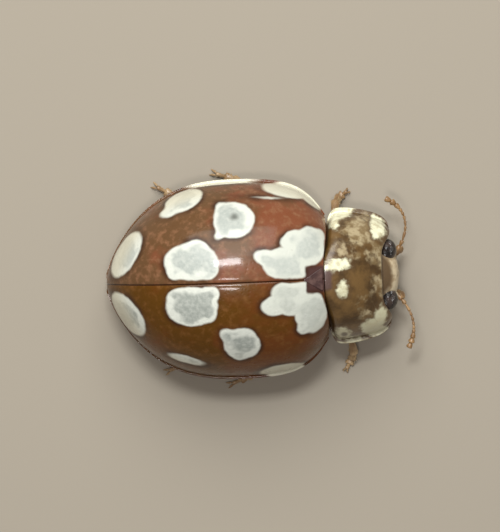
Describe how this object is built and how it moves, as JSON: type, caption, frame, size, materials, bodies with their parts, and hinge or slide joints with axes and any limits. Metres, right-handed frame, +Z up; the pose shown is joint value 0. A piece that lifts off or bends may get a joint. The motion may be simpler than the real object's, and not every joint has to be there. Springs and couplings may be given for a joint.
{
  "type": "eighteen-spot ladybird",
  "caption": "Still, life-size ladybird beetle standing on its feet, with domed brown wing cases marked with cream spots, a brown and cream pronotum, and clubbed feelers",
  "frame": {"origin": "on the floor, under the middle of the box round the whole beetle, feelers and feet included", "axes": "+X points the way the head faces, +Y to the beetle's left and +Z up"},
  "size_m": [0.0054, 0.004, 0.0024],
  "materials": {
    "wing_case": "polished red-brown chitin with cream spots, finely pitted",
    "scutellum": "dark purple-brown chitin",
    "pronotum": "brown chitin with cream sides and small cream spots",
    "head": "pale cream to tan chitin",
    "eye": "glossy black, finely faceted",
    "feeler": "yellow-brown chitin, darker towards the club, with short hairs",
    "underside": "satin brown chitin with fine short hairs",
    "leg": "satin yellow-brown chitin with fine short hairs"
  },
  "bodies": {
    "root": {"elytron_left": "wing_case", "elytron_right": "wing_case", "scutellum": "scutellum", "pronotum": "pronotum", "prothorax": "underside", "thorax": "underside", "abdomen": "underside", "head": "head", "labrum": "head", "eye_left": "eye", "eye_right": "eye", "antenna_left": "feeler", "antenna_right": "feeler", "palp_left": "feeler", "palp_right": "feeler", "leg_front_left_femur": "leg", "leg_front_left_tibia": "leg", "leg_front_left_tarsus": "leg", "leg_front_right_femur": "leg", "leg_front_right_tibia": "leg", "leg_front_right_tarsus": "leg", "leg_middle_left_femur": "leg", "leg_middle_left_tibia": "leg", "leg_middle_left_tarsus": "leg", "leg_middle_right_femur": "leg", "leg_middle_right_tibia": "leg", "leg_middle_right_tarsus": "leg", "leg_hind_left_femur": "leg", "leg_hind_left_tibia": "leg", "leg_hind_left_tarsus": "leg", "leg_hind_right_femur": "leg", "leg_hind_right_tibia": "leg", "leg_hind_right_tarsus": "leg"}
  },
  "joints": []
}
